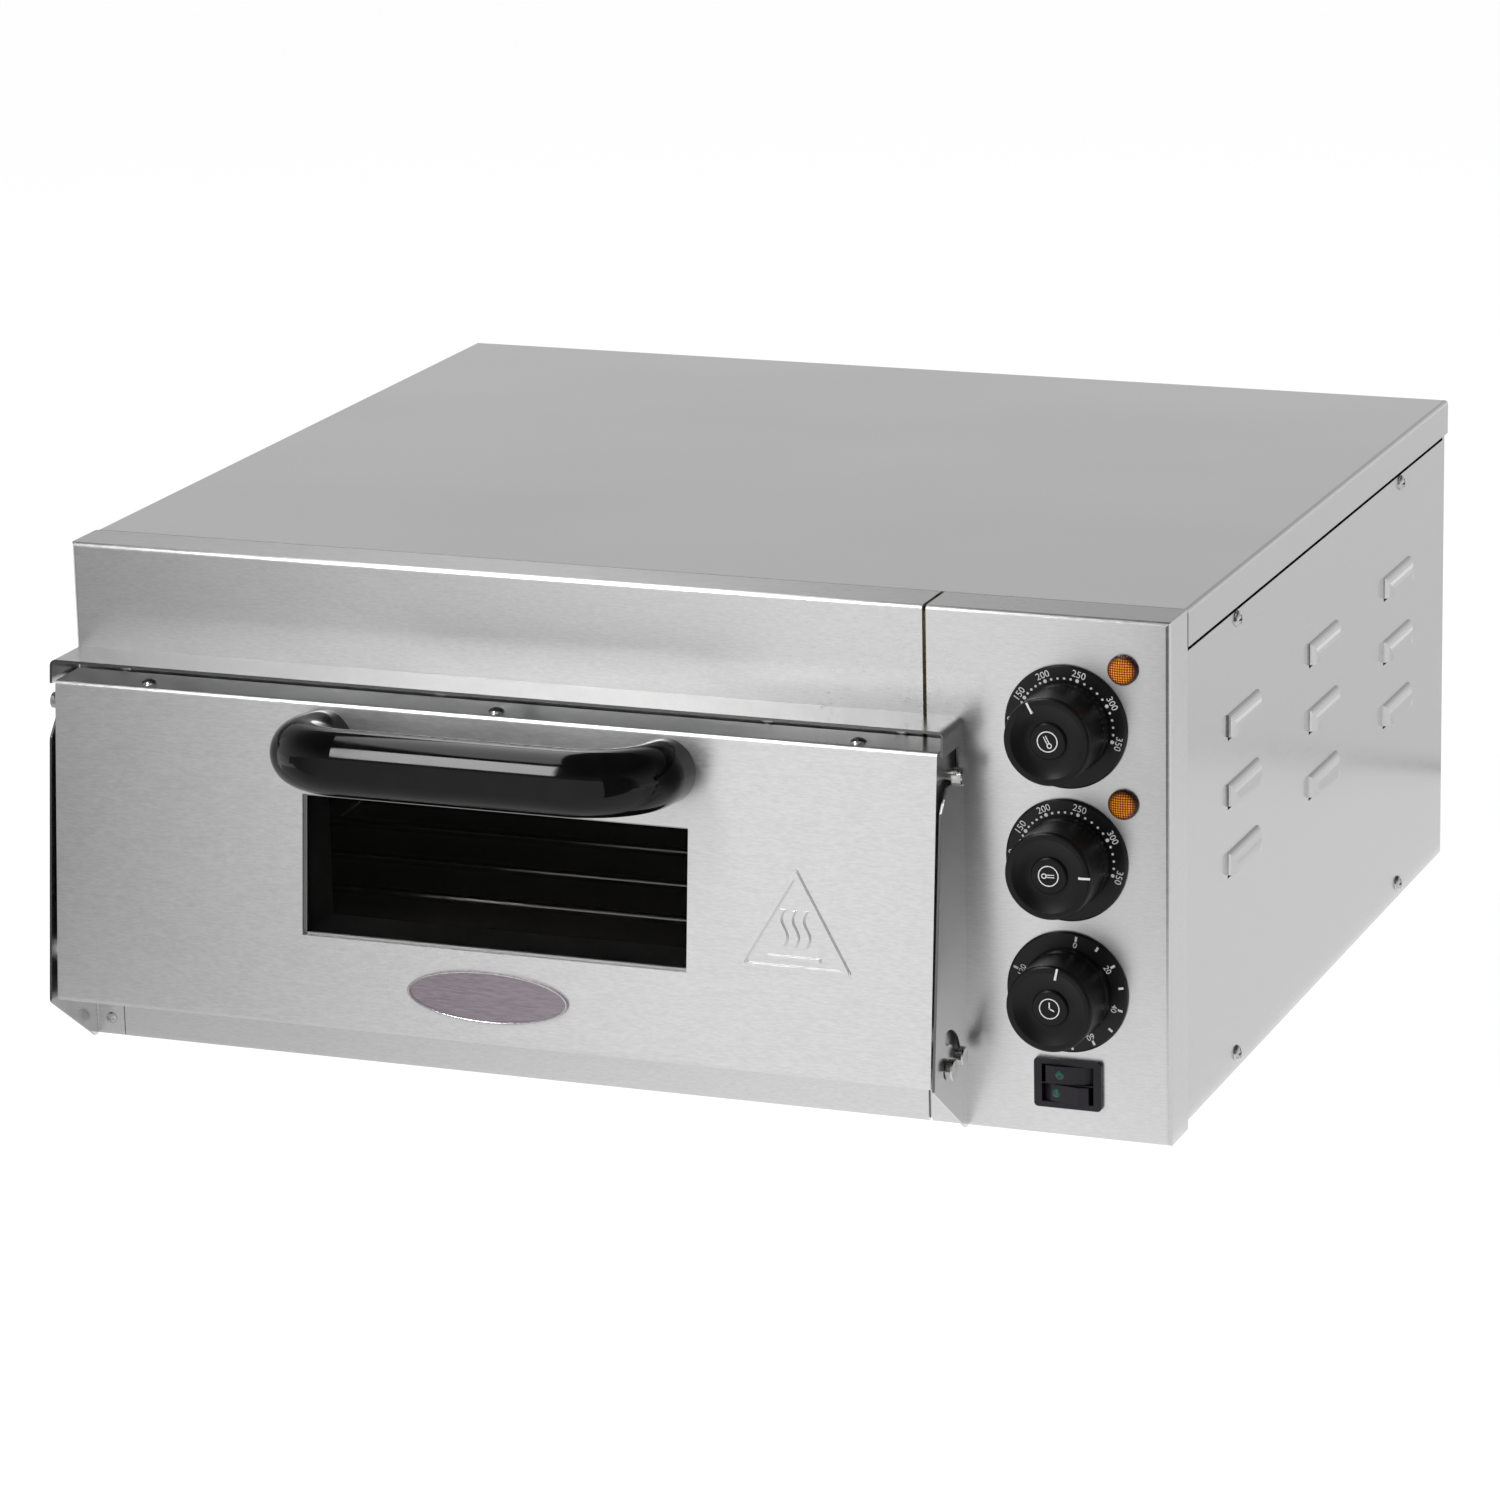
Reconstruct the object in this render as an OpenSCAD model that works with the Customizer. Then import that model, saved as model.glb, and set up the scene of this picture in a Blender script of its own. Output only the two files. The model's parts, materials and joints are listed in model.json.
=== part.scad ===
// Countertop pizza oven: a folded stainless cabinet, a drop-down door with a bow
// handle, two thermostats, a timer and a double rocker switch.
// Millimetres, +X to the right, +Y to the back, +Z up.
// The origin is on the resting surface, under the middle of the whole object.

/* [Cabinet] */
// Width of the cabinet
cabinet_w = 560; // [550:2:570]
// Depth of the cabinet, front plate to rear edge of the top cover
cabinet_d = 494; // [484:2:510]
// Height of the cabinet without its feet
cabinet_h = 252; // [248:1:262]
// Thickness of the cabinet sheet
sheet = 1.2; // [1:0.1:1.4]
// Height of the rubber feet below the cabinet
foot_h = 10; // [8:1:12]
// Depth of the returns behind the front plates
return_d = 27; // [22:1:32]

/* [Front] */
// Width of the control panel
panel_w = 118; // [114:1:120]
// Dark seam between the control panel and the parts left of it
seam = 1.8; // [1.2:0.2:2.4]
// Height of the upper fascia
fascia_h = 52; // [48:1:56]
// Width of the left front post
post_w = 16; // [14:1:17]
// Height of the lower front rail
rail_h = 31; // [29:1:31]

/* [Door] */
// Lean of the door's face from upright, in degrees
door_lean = 5.4; // [4.6:0.2:5.8]
// Top edge of the door above the cabinet's underside
door_top = 190; // [188:1:192]
// Thickness of the door skin
skin = 1; // [0.8:0.1:1.2]
// Width of the window
window_w = 199; // [180:1:205]
// Height of the window
window_h = 69; // [60:1:70]
// Distance between the two handle legs
handle_pitch = 176; // [160:2:184]
// Diameter of the handle tube
handle_dia = 32; // [26:1:33]
// Distance from the door's face to the middle of the handle bar
handle_reach = 46; // [44:1:50]

/* [Controls] */
// Distance between one dial and the next
dial_pitch = 64; // [62:0.5:65]
// Diameter of the dial plates
dial_dia = 59; // [54:1:60]
// Diameter of the knobs at their front edge
knob_dia = 42; // [38:1:42]
// Depth of the knobs in front of the panel
knob_reach = 29; // [24:1:32]

/* [Hidden] */
$fn = 48;

// Cabinet outline, seen in the cabinet's own frame: y = 0 is the front plate,
// z = 0 the underside of the cabinet
left = -cabinet_w / 2;
right = cabinet_w / 2;
top = cabinet_h;
bend_r = 2.2;
screw_r = 1.6;
side_drop = 18;
side_out = right - sheet;
back_in = cabinet_d - 2.6;
panel_left = right - panel_w;
fascia_z = top - fascia_h;

// Hood bracket and door
hood_t = 1.2;
hood_right = panel_left + 18;
hood_d = 28;
mid_x = (left + hood_right) / 2;
door_gap = 3;
door_left = left + door_gap;
door_right = hood_right - door_gap;
door_bottom = 31;
door_back = -4;
door_top_y = -29;
lean_slope = tan(door_lean);
pivot = [-28, 37];
stop = [-13, 39];
latch = [-16, 176];
bolt_r = 3;
window_x = [mid_x + 5 - window_w / 2, mid_x + 5 + window_w / 2];
window_z = [76, 76 + window_h];
glass_depth = [4, 8];
handle_z = 171;
handle_x = mid_x + 4;

// Oven chamber, inside sizes
chamber_x = [mid_x - 200, mid_x + 200];
chamber_z = [38, 180];
chamber_y = [6, 410];
stone_z = [52, 64];
mouth_z = [66, 177];
divider_x = panel_left + 16;

// Controls
dial_x = 230;
dial_top_z = 199.5;
lamp_x = 257.5;
lamp_drop = -29;
switch_x = 230.2;
switch_z = 26.4;
shaft_r = 3;
rocker_tilt = 10;

// Rear inlet
gland_x = 230;
gland_z = 45;
gland_reach = 20;
gland_bore_r = 4.6;

// Whole object: the frame's origin is under the middle of the overall depth
knuckle = handle_reach + handle_dia / 2;
front_reach = -face_y(handle_z) + knuckle * cos(door_lean);
front_y = (front_reach - cabinet_d - gland_reach) / 2;

// ---------- functions ----------

// y of the door's outer face at height z
function face_y(z) = door_top_y - (door_top - z) * lean_slope;

// y of the hood bracket's front edge at height z
function wing_y(z) = -hood_d - (fascia_z - z) * 0.112;

// Points of one rounded corner between its two neighbours
function corner(before, here, after, r, steps) =
    r == 0 ? [here] :
    let (u = (before - here) / norm(before - here),
         v = (after - here) / norm(after - here),
         half = acos(u * v) / 2,
         reach = r / tan(half),
         centre = here + (u + v) / norm(u + v) * r / sin(half),
         from = here + u * reach - centre,
         to = here + v * reach - centre,
         a0 = atan2(from[1], from[0]),
         turn = atan2(from[0] * to[1] - from[1] * to[0], from * to))
    [for (i = [0 : steps]) centre + r * [cos(a0 + turn * i / steps), sin(a0 + turn * i / steps)]];

// Outline with rounded corners, one radius for each point
function rounded(points, radii, steps = 6) =
    let (n = len(points))
    [for (i = [0 : n - 1])
        each corner(points[(i + n - 1) % n], points[i], points[(i + 1) % n], radii[i], steps)];

// Rectangle outline with rounded corners: low-low, high-low, high-high, low-high
function soft_box(lo, hi, radii, steps = 6) =
    rounded([lo, [hi[0], lo[1]], hi, [lo[0], hi[1]]], radii, steps);

// Door profile in (y, z), moved inwards by inset
function door_profile(inset) = [
    [face_y(door_bottom + inset) + inset / cos(door_lean), door_bottom + inset],
    [door_back + (inset > 0 ? 10 : 0), door_bottom + inset],
    [door_back + (inset > 0 ? 10 : 0), door_top - inset],
    [face_y(door_top - inset) + inset / cos(door_lean), door_top - inset]
];

// ---------- placing helpers ----------

module in_place() translate([0, front_y, foot_h]) children();

module block(lo, hi) translate(lo) cube(hi - lo);

// Extrudes a (y, z) outline from x0 to x1
module along_x(x0, x1) translate([x0, 0, 0]) rotate([90, 0, 90]) linear_extrude(x1 - x0) children();

// Extrudes an (x, z) outline from y0 to y1
module along_y(y0, y1) translate([0, y1, 0]) rotate([90, 0, 0]) linear_extrude(y1 - y0) children();

// Extrudes an (x, y) outline from z0 to z1
module along_z(z0, z1) translate([0, 0, z0]) linear_extrude(z1 - z0) children();

module rod_x(x0, x1, y, z, r) translate([x0, y, z]) rotate([0, 90, 0]) cylinder(h = x1 - x0, r = r);

module rod_y(x, y0, y1, z, r) translate([x, y1, z]) rotate([90, 0, 0]) cylinder(h = y1 - y0, r = r);

module rod_z(x, y, z0, z1, r) translate([x, y, z0]) cylinder(h = z1 - z0, r = r);

// Mirrors a part of the door or hood to the other side as well
module both_sides() {
    children();
    translate([2 * mid_x, 0, 0]) mirror([1, 0, 0]) children();
}

// Puts children on the door's leaning face at height z, -Y outwards
module on_door(z) translate([0, face_y(z), z]) rotate([-door_lean, 0, 0]) children();

// Solid block with rounded front edges where a plate is bent back
module bent_block(x0, x1, z0, z1, depth, bends, r) {
    intersection() {
        along_z(z0, z1)
            polygon(soft_box([x0, 0], [x1, depth], [bends[0] * r, bends[1] * r, 0, 0]));
        along_x(x0, x1)
            polygon(soft_box([0, z0], [depth, z1], [bends[3] * r, 0, 0, bends[2] * r]));
    }
}

// Folded front plate; bends = [left, right, top, bottom], 1 where a return goes back
module folded_plate(x0, x1, z0, z1, depth, bends) {
    gap = [for (b = bends) b == 1 ? sheet : -1];
    difference() {
        bent_block(x0, x1, z0, z1, depth, bends, bend_r);
        translate([0, sheet, 0])
            bent_block(x0 + gap[0], x1 - gap[1], z0 + gap[3], z1 - gap[2],
                depth + 1, bends, bend_r - sheet);
    }
}

// Rectangular ring in the (x, z) plane between two depths
module ring_y(lo, hi, wall, y0, y1) {
    difference() {
        block([lo[0], y0, lo[1]], [hi[0], y1, hi[1]]);
        block([lo[0] + wall, y0 - 1, lo[1] + wall], [hi[0] - wall, y1 + 1, hi[1] - wall]);
    }
}

// Pan-head screw lying along -Y at the origin, head outside, with a cross recess
module pan_screw(head_r, head_h, shank_r, shank_l) {
    difference() {
        rotate([90, 0, 0]) rotate_extrude() polygon(concat(
            [[0, 0], [head_r, 0]],
            [for (i = [1 : 5]) [head_r * cos(i * 15), head_h * sin(i * 15) / sin(75)]],
            [[0, head_h]]));
        for (a = [0, 90])
            rotate([0, a, 0])
                block([-head_r * 0.6, -head_h - 1, -0.5], [head_r * 0.6, -head_h * 0.45, 0.5]);
    }
    rod_y(0, 0, shank_l, 0, shank_r);
}

// ---------- cabinet ----------

module base_plate() {
    color("silver") in_place() {
        floor_z = 2;
        lip = 14;
        x0 = left + 2 * sheet + 0.4;
        x1 = right - 2 * sheet - 0.4;
        difference() {
            block([x0, 2, floor_z], [x1, back_in - 0.2, floor_z + lip]);
            block([x0 + sheet, 2 + sheet, floor_z + sheet],
                [x1 - sheet, back_in - 0.2 - sheet, floor_z + lip + 1]);
            for (y = side_screw_y)
                rod_x(left, right, y, side_screw_z[0], screw_r);
            for (x = rear_screw_x)
                rod_y(x, back_in - 5, back_in, rear_screw_z[0], screw_r);
            rod_y(left + 9, 1, 5, 9, screw_r);
        }
    }
}

module rear_panel() {
    color("silver") in_place() difference() {
        block([left + 2.6, back_in, 3], [right - 2.6, back_in + sheet, top - 3]);
        rod_y(gland_x, back_in - 1, back_in + 5, gland_z, 8);
        for (x = rear_screw_x, z = rear_screw_z)
            rod_y(x, back_in - 1, back_in + 5, z, screw_r);
    }
}

rear_screw_x = [left + 30, 0, right - 30];
rear_screw_z = [12, top - 32];

// Plain side sheet, from its front edge behind the returns to the back, with a slit
// that leaves a dark line under the cover's edge
module side_sheet(x0) {
    slit_z = top - side_drop - 2.8;
    difference() {
        block([x0, return_d + 0.4, 3], [x0 + sheet, back_in + sheet, top - 3]);
        block([x0 - 1, return_d + 3, slit_z], [x0 + sheet + 1, back_in - 3, slit_z + 3.6]);
        for (y = side_screw_y, z = side_screw_z)
            rod_x(x0 - 1, x0 + sheet + 1, y, z, screw_r);
    }
}

side_screw_y = [110, 404];
side_screw_z = [11, 227];

module left_side_panel() {
    color("silver") in_place() side_sheet(left + sheet);
}

louvre_l = 50;
louvre_h = 11;
louvre_out = 4.2;
louvre_end = 9;
louvre_y = [119, 258, 397];
louvre_z = [105, 139, 173];

// Quarter of an oval, as points (reach, along) from full reach to none
function quarter_oval(reach, along) =
    [for (i = [0 : 8]) [reach * cos(i * 11.25), along * sin(i * 11.25)]];

// Solid of one pressed louvre, open side down, shrunk by t
module louvre_block(t) {
    reach = louvre_out - t;
    flat_half = louvre_l / 2 - louvre_end;
    end = quarter_oval(reach, louvre_end - t);
    intersection() {
        along_y(-louvre_l, louvre_l)
            polygon(concat([[-2, louvre_h - t], [-2, -1 - t], [reach, -1 - t]],
                quarter_oval(reach, louvre_h - t)));
        along_z(-3, louvre_h + 1)
            polygon(concat(
                [for (i = [8 : -1 : 0]) [end[i][0], -flat_half - end[i][1]]],
                [for (i = [0 : 8]) [end[i][0], flat_half + end[i][1]]],
                [[-2, louvre_l / 2 - t], [-2, -louvre_l / 2 + t]]));
    }
}

module at_louvres() {
    for (y = louvre_y, z = louvre_z)
        translate([side_out, y, z]) children();
}

module right_side_panel() {
    color("silver") in_place() difference() {
        union() {
            side_sheet(side_out - sheet);
            at_louvres() intersection() {
                louvre_block(0);
                block([-sheet / 2, -louvre_l, 0], [10, louvre_l, louvre_h + 1]);
            }
        }
        at_louvres() louvre_block(1);
    }
}

module top_cover() {
    color("silver") in_place() {
        y0 = return_d + 0.4;
        y1 = cabinet_d;
        z0 = top - side_drop;
        difference() {
            intersection() {
                along_y(y0, y1) polygon(soft_box([left - 0.2, z0], [right + 0.2, top],
                    [0, 0, bend_r, bend_r]));
                along_x(left - 1, right + 1) polygon(soft_box([y0, z0], [y1, top],
                    [0, 0, bend_r, 0]));
            }
            intersection() {
                along_y(y0 - 1, y1 - sheet) polygon(soft_box([left - 0.2 + sheet, z0 - 1],
                    [right + 0.2 - sheet, top - sheet], [0, 0, 1, 1]));
                along_x(left, right) polygon(soft_box([y0 - 1, z0 - 1],
                    [y1 - sheet, top - sheet], [0, 0, 1, 0]));
            }
        }
    }
}

module upper_fascia() {
    color("silver") in_place()
        folded_plate(left, panel_left - seam, fascia_z, top, return_d, [1, 0, 1, 0]);
}

module control_panel() {
    color("silver") in_place() difference() {
        folded_plate(panel_left, right, 0, top, return_d, [0, 1, 1, 1]);
        for (i = [0 : 2])
            rod_y(dial_x, -1, 2, dial_top_z - i * dial_pitch, 5);
        for (i = [0, 1])
            rod_y(lamp_x, -1, 2, dial_top_z - lamp_drop - i * dial_pitch, 5);
        block([switch_x - 14, -1, switch_z - 10], [switch_x + 14, 2, switch_z + 10]);
    }
}

module left_front_post() {
    color("silver") in_place() difference() {
        folded_plate(left, left + post_w, 0, fascia_z - 0.4, return_d, [1, 0, 0, 1]);
        rod_y(left + 9, -1, 2, 9, screw_r);
    }
}

module lower_front_rail() {
    color("silver") in_place()
        folded_plate(left + post_w + 0.4, panel_left - seam, 0, rail_h, 14, [0, 0, 0, 1]);
}

module post_screw() {
    color("gainsboro") in_place() translate([left + 9, 0, 9]) pan_screw(3, 1.6, screw_r, 4.5);
}

// ---------- hood bracket round the door ----------

wing_tip = [-3, 0];
slot_r = norm(stop - pivot);
slot_w = 7;
slot_from = atan2(stop[1] - pivot[1], stop[0] - pivot[0]);

// Side outline of the wings, in (y, z), with the latch notch open to the front
module wing_outline() {
    notch_top = latch[1] + 12;
    notch_floor = latch[1] - bolt_r - 0.4;
    polygon(rounded([
        [0, wing_tip[1]], [0, fascia_z], [-hood_d, fascia_z],
        [wing_y(notch_top), notch_top], [-7.5, notch_top],
        [-7.5, notch_floor], [-23, notch_floor],
        [wing_y(notch_floor - 11), notch_floor - 11],
        [wing_y(door_bottom), door_bottom], wing_tip],
        [0, 0, 0, 1, 1.5, 1.5, 5, 4, 3, 1.5]));
}

// Outline of a slot that follows an arc of radius r from angle a0 to a1
function arc_slot(r, w, a0, a1) = concat(
    [for (i = [0 : 12]) let (a = a0 + (a1 - a0) * i / 12) (r + w / 2) * [cos(a), sin(a)]],
    [for (i = [1 : 7]) let (b = a1 + i * 22.5) r * [cos(a1), sin(a1)] + w / 2 * [cos(b), sin(b)]],
    [for (i = [12 : -1 : 0]) let (a = a0 + (a1 - a0) * i / 12) (r - w / 2) * [cos(a), sin(a)]],
    [for (i = [1 : 7]) let (b = a0 + 180 + i * 22.5)
        r * [cos(a0), sin(a0)] + w / 2 * [cos(b), sin(b)]]);

// Slot that the stop bolt swings in, an arc about the door's pivot
module stop_slot() {
    translate(pivot) polygon(arc_slot(slot_r, slot_w, slot_from - 2, slot_from + door_open + 2));
}

door_open = 80;

module hood_bracket() {
    color("gainsboro") in_place() difference() {
        union() {
            intersection() {
                difference() {
                    along_y(-70, 0) polygon(soft_box([left, -5], [hood_right, fascia_z],
                        [0, 0, bend_r + 0.8, bend_r + 0.8]));
                    along_y(-71, 1) polygon(soft_box([left + hood_t, -6],
                        [hood_right - hood_t, fascia_z - hood_t], [0, 0, 1.5, 1.5]));
                }
                along_x(left - 1, hood_right + 1) wing_outline();
            }
            block([left + post_w, -hood_t, door_top - 4],
                [panel_left - seam, 0, fascia_z - hood_t / 2]);
            both_sides()
                block([hood_right - 10, -hood_t, 60], [hood_right - hood_t / 2, 0, 165]);
        }
        both_sides() {
            rod_x(hood_right - 5, hood_right + 2, pivot[0], pivot[1], bolt_r + 0.08);
            along_x(hood_right - 5, hood_right + 2) stop_slot();
        }
        for (p = rivet_spots)
            rod_y(p[0], -hood_t - 1, 1, p[1], 2);
    }
}

rivet_spots = [
    for (x = [-253, -85, 83, 150]) [x, 190],
    for (z = [70, 110, 150]) [left + 6, z],
    for (z = [70, 110, 150]) [hood_right - 6, z]
];

module hood_rivets() {
    color("gainsboro") in_place() for (p = rivet_spots)
        translate([p[0], -hood_t, p[1]]) {
            rotate([90, 0, 0]) rotate_extrude()
                polygon([[0, 0], [3.4, 0], [3.2, 0.4], [2.2, 0.8], [0, 0.9]]);
            rod_y(0, 0, hood_t, 0, 2);
        }
}

// ---------- oven chamber ----------

module chamber_liner() {
    wall = 1;
    y0 = sheet + 0.1;
    color("dimgray") in_place() difference() {
        union() {
            block([chamber_x[0] - wall, y0, chamber_z[0] - wall],
                [chamber_x[1] + wall, chamber_y[1] + wall, chamber_z[1] + wall]);
            block([chamber_x[0] - 11, y0, chamber_z[0] - 4],
                [chamber_x[1] + 9, y0 + wall, chamber_z[1] + 11]);
        }
        block([chamber_x[0], -1, chamber_z[0]], [chamber_x[1], chamber_y[1], chamber_z[1]]);
        for (z = [upper_element_z, lower_element_z], y = [element_y(0), element_y(element_passes - 1)])
            rod_x(chamber_x[1] - 1, chamber_x[1] + 5, y, z, element_r + 0.3);
        for (z = bulb_z)
            rod_x(chamber_x[1] - 1, chamber_x[1] + 5, bulb_y - 6, z, 1.4);
    }
}

module mouth_frame() {
    color("darkgray") in_place() difference() {
        block([left + post_w + 0.4, 0, rail_h + 0.3],
            [panel_left - seam, sheet, fascia_z - 0.4]);
        block([chamber_x[0] + 5, -1, mouth_z[0]], [chamber_x[1] - 5, 3, mouth_z[1]]);
    }
}

module compartment_divider() {
    color("silver") in_place() difference() {
        block([divider_x, 4, 4], [divider_x + 1, back_in - 3, top - 4]);
        for (z = [upper_element_z, lower_element_z], y = [element_y(0), element_y(element_passes - 1)])
            rod_x(divider_x - 1, divider_x + 2, y, z, 7);
        for (z = bulb_z)
            rod_x(divider_x - 1, divider_x + 2, bulb_y - 6, z, 2);
    }
}

wool_x = [left + 8, divider_x - 1];
wool_y = [5, 482];

module wool(lo, hi) color("khaki") in_place() block(lo, hi);

module top_insulation()
    wool([wool_x[0], wool_y[0], chamber_z[1] + 12], [wool_x[1], wool_y[1], top - 4]);

module bottom_insulation()
    wool([wool_x[0], wool_y[0], 4.5], [wool_x[1], wool_y[1], chamber_z[0] - 5]);

module side_insulation() {
    z0 = chamber_z[0] - 4;
    z1 = chamber_z[1] + 11;
    color("khaki") in_place() {
        block([wool_x[0], wool_y[0], z0], [chamber_x[0] - 2, wool_y[1], z1]);
        difference() {
            block([chamber_x[1] + 2, wool_y[0], z0], [wool_x[1], wool_y[1], z1]);
            for (z = [upper_element_z, lower_element_z], y = [element_y(0), element_y(element_passes - 1)])
                rod_x(chamber_x[1], wool_x[1] + 1, y, z, 6);
            for (z = bulb_z)
                rod_x(chamber_x[1], wool_x[1] + 1, bulb_y - 6, z, 2);
        }
    }
}

module rear_insulation()
    wool([chamber_x[0] - 1, chamber_y[1] + 2, chamber_z[0] - 4],
        [chamber_x[1] + 1, wool_y[1], chamber_z[1] + 11]);

module baking_stone() {
    color("tan") in_place() along_z(stone_z[0], stone_z[1])
        polygon(soft_box([chamber_x[0] + 4, 12], [chamber_x[1] - 4, 404], [4, 4, 4, 4]));
}

module stone_rails() {
    color("gray") in_place() both_sides() {
        difference() {
            block([chamber_x[1] - 1.2, 14, chamber_z[0]], [chamber_x[1], 402, stone_z[0]]);
            for (y = [element_y(0), element_y(element_passes - 1)])
                rod_x(chamber_x[1] - 3, chamber_x[1] + 3, y, lower_element_z, element_r + 0.5);
        }
        block([chamber_x[1] - 16, 14, stone_z[0] - 1.2], [chamber_x[1] - 1.2, 402, stone_z[0]]);
    }
}

rack_rods = 7;
rack_pitch = 54;
rack_first_y = 50;
rack_rail_r = 3;
rack_rod_r = 2.5;

module wire_rack() {
    rail_z = stone_z[1] + rack_rail_r;
    rod_z0 = rail_z + rack_rail_r + rack_rod_r - 1;
    rail_x = [chamber_x[0] + 22, chamber_x[1] - 22];
    color("lightgray") in_place() union() {
        for (x = rail_x)
            rod_y(x, rack_first_y - 14, rack_first_y + (rack_rods - 1) * rack_pitch + 14,
                rail_z, rack_rail_r);
        for (i = [0 : rack_rods - 1])
            rod_x(rail_x[0] - 8, rail_x[1] + 8, rack_first_y + i * rack_pitch, rod_z0, rack_rod_r);
    }
}

element_passes = 6;
element_pitch = 60;
element_r = 4;
upper_element_z = 170;
lower_element_z = 45;

// y of the straight pass i of a heating element
function element_y(i) = 58 + i * element_pitch;

// Half-circle that joins two passes at x, opening to -X or +X
module element_bend(x, y, z, turn) {
    translate([x, y, z]) rotate([0, 0, turn])
        rotate_extrude(angle = 180) translate([element_pitch / 2, 0]) circle(element_r);
}

module heating_element(z) {
    bend_left = chamber_x[0] + 42;
    bend_right = chamber_x[1] - 42;
    terminal_x = divider_x + 14;
    last = element_passes - 1;
    color("dimgray") in_place() {
        for (i = [0 : last])
            rod_x(bend_left, i == 0 || i == last ? terminal_x : bend_right,
                element_y(i), z, element_r);
        for (i = [0 : 2 : last - 1])
            element_bend(bend_left, (element_y(i) + element_y(i + 1)) / 2, z, 90);
        for (i = [1 : 2 : last - 1])
            element_bend(bend_right, (element_y(i) + element_y(i + 1)) / 2, z, -90);
        for (i = [0, last])
            rod_x(terminal_x, terminal_x + 12, element_y(i), z, 1.5);
    }
}

module upper_heating_element() heating_element(upper_element_z);

module lower_heating_element() heating_element(lower_element_z);

// ---------- controls ----------

// Regulator behind the panel, with a bore for its shaft
module control_body(index, half_w, half_h, depth) {
    color("dimgray") in_place() translate([dial_x, 0, dial_top_z - index * dial_pitch])
        difference() {
            union() {
                block([-half_w, sheet + 1.5, -half_h], [half_w, depth, half_h]);
                rod_y(0, 0.2, sheet + 1.6, 0, 4.8);
                for (side = [-1, 1])
                    block([side * (half_w + 3) - 3.2, depth - 10, -4],
                        [side * (half_w + 3) + 3.2, depth - 8, 4]);
            }
            rod_y(0, -1, 22, 0, shaft_r + 0.06);
        }
}

module upper_thermostat_body() control_body(0, 19, 17, 44);

module lower_thermostat_body() control_body(1, 19, 17, 44);

module timer_body() control_body(2, 22, 21, 52);

bulb_z = [156, 84];
bulb_y = 330;

// Sensing bulb in the chamber and its capillary tube out to a thermostat
module sensing_bulb(z, index) {
    bulb_x = chamber_x[1] - 8;
    tube_x = dial_x + (index == 0 ? 8 : -8);
    tube_end = 44;
    target_z = dial_top_z - index * dial_pitch;
    rod_y(bulb_x, bulb_y, bulb_y + 70, z, 3);
    rod_y(bulb_x, bulb_y - 6, bulb_y, z, 1);
    translate([bulb_x, bulb_y - 6, z]) sphere(1);
    rod_x(bulb_x, tube_x, bulb_y - 6, z, 1);
    translate([tube_x, bulb_y - 6, z]) sphere(1);
    rod_z(tube_x, bulb_y - 6, min(z, target_z), max(z, target_z), 1);
    translate([tube_x, bulb_y - 6, target_z]) sphere(1);
    rod_y(tube_x, tube_end, bulb_y - 6, target_z, 1);
}

module sensing_bulbs() {
    color("peru") in_place() {
        sensing_bulb(bulb_z[0], 0);
        sensing_bulb(bulb_z[1], 1);
    }
}

module pilot_lamps() {
    color("darkorange") in_place() for (i = [0, 1])
        translate([lamp_x, 0, dial_top_z - lamp_drop - i * dial_pitch]) {
            rotate([90, 0, 0]) rotate_extrude() polygon(
                [[0, 0], [7.2, 0], [7.2, 1.4], [6.6, 2.6], [5.2, 3.4], [3, 4], [0, 4.2]]);
            rod_y(0, 0, 24, 0, 4.9);
        }
}

module dial_plates() {
    color("#181818") in_place() for (i = [0 : 2])
        translate([dial_x, 0, dial_top_z - i * dial_pitch]) rotate([90, 0, 0])
            rotate_extrude($fn = 96) polygon([[5.2, 0], [dial_dia / 2, 0],
                [dial_dia / 2, 1.2], [dial_dia / 2 - 0.8, 2], [5.2, 2]]);
}

// Knob grip: a flared, tapered cylinder with a dished face and a raised middle
module knob(index) {
    r = knob_dia / 2;
    h = knob_reach;
    color("#141414") in_place() translate([dial_x, 0, dial_top_z - index * dial_pitch])
        rotate([90, 0, 0]) rotate_extrude($fn = 96) polygon(concat(
            [[shaft_r, 2.6], [r + 0.6, 2.6], [r + 0.6, 6], [r, 8], [r, h - 1.6]],
            [for (i = [1 : 4]) [r - 1.6 * (1 - cos(i * 22.5)), h - 1.6 + 1.6 * sin(i * 22.5)]],
            [[r - 3.4, h]],
            [for (i = [1 : 8]) [(r - 3.4) + (9 - r + 3.4) * i / 8, h - 2.6 * sin(i * 90 / 8)]],
            [[8.6, h - 1.6], [8, h - 1.1], [0, h - 1.1], [0, 16], [shaft_r, 16]]));
}

module upper_thermostat_knob() knob(0);

module lower_thermostat_knob() knob(1);

module timer_knob() knob(2);

module control_shaft(index) {
    color("silver") in_place()
        rod_y(dial_x, -16, 21, dial_top_z - index * dial_pitch, shaft_r);
}

module upper_thermostat_shaft() control_shaft(0);

module lower_thermostat_shaft() control_shaft(1);

module timer_shaft() control_shaft(2);

// Switch: bezel 33 x 24, two windows, hollow body behind the panel
bezel = [16.5, 12];
rocker_half_w = 11.6;
rocker_open_w = 12.7;
rocker_z = [4.75, -4.75];
rocker_half_h = 4.2;
bezel_reach = 2.5;
rocker_pivot_y = 3.5;
rocker_pin_r = 1.2;

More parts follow.
